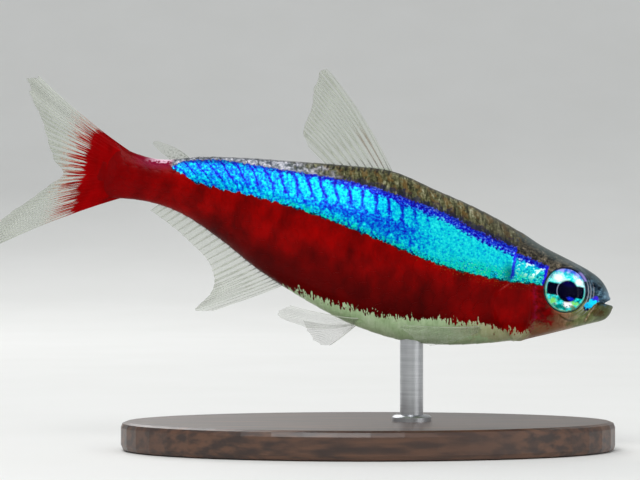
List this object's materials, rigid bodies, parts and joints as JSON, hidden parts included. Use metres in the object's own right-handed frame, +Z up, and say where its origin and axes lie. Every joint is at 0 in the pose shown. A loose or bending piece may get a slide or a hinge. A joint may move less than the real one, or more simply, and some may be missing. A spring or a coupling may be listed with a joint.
{
  "type": "life-size museum model of a cardinal tetra on a display stand",
  "caption": "Small freshwater fish model, nose slightly down with a gently curved tail and spread forked fins, held by one short rod over a plain oval base.",
  "frame": {"origin": "centre of the flat underside of the stand's base", "axes": "+Z up, +X towards the fish's head, +Y towards the fish's left side"},
  "size_m": [0.044, 0.02, 0.0262],
  "materials": {
    "back": "satin",
    "flank": "satin",
    "jaw": "satin",
    "eye": "gloss",
    "fin": "clear",
    "stand_base": "satin",
    "stand_rod": "satin"
  },
  "bodies": {
    "root": {"head": "back", "lower_jaw": "jaw", "gill_cover_left": "flank", "gill_cover_right": "flank", "eye_left": "eye", "eye_right": "eye", "abdomen": "flank", "tail_trunk": "flank", "caudal_peduncle": "flank", "dorsal_fin": "fin", "adipose_fin": "fin", "anal_fin": "fin", "caudal_fin_upper": "fin", "caudal_fin_lower": "fin", "pelvic_fin_left": "fin", "pelvic_fin_right": "fin", "pectoral_fin_left": "fin", "pectoral_fin_right": "fin", "stand_base": "stand_base", "stand_rod": "stand_rod"}
  },
  "joints": []
}
